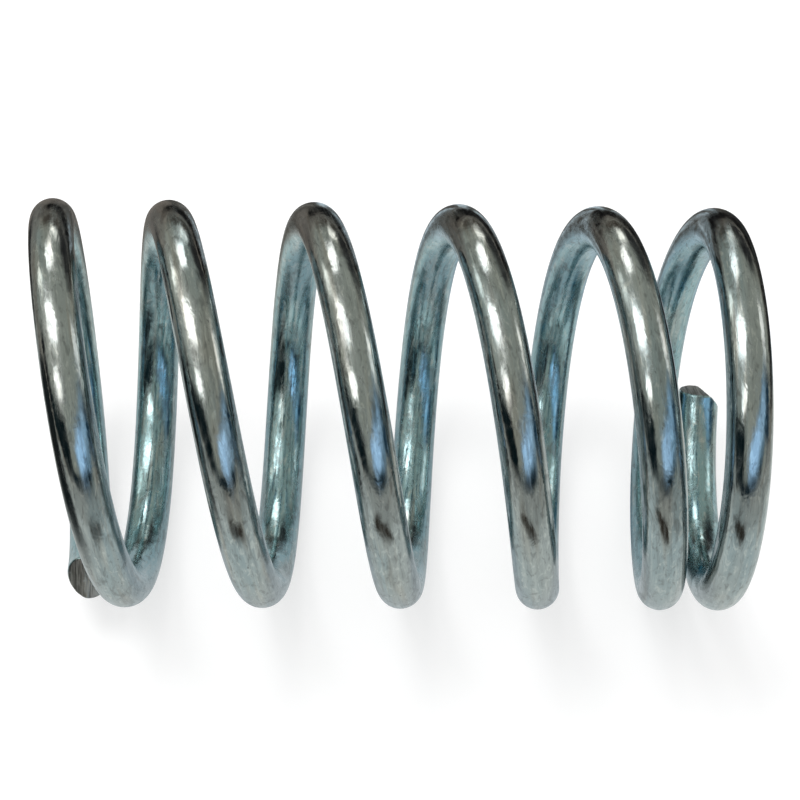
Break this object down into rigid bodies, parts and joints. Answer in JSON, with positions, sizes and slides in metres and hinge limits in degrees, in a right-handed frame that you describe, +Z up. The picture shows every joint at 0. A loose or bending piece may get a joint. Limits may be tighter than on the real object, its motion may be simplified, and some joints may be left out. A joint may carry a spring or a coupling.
{
  "type": "drawbar spring",
  "caption": "Helical compression spring of round zinc-plated steel wire, with closed, unground, sheared ends, that cushions a drawbar on its rod",
  "frame": {"origin": "on the floor, under the axis of the coil, half way along its free length", "axes": "+X along the axis of the coil toward the tightly closed end; +Y to the back; +Z up"},
  "size_m": [0.1004, 0.056, 0.056],
  "materials": {
    "zinc_plated_wire": "bright zinc plating with a faint bluish passivation over cold-drawn spring wire, with drawing streaks along it"
  },
  "bodies": {
    "root": {"coil_spring": "zinc_plated_wire"}
  },
  "joints": []
}
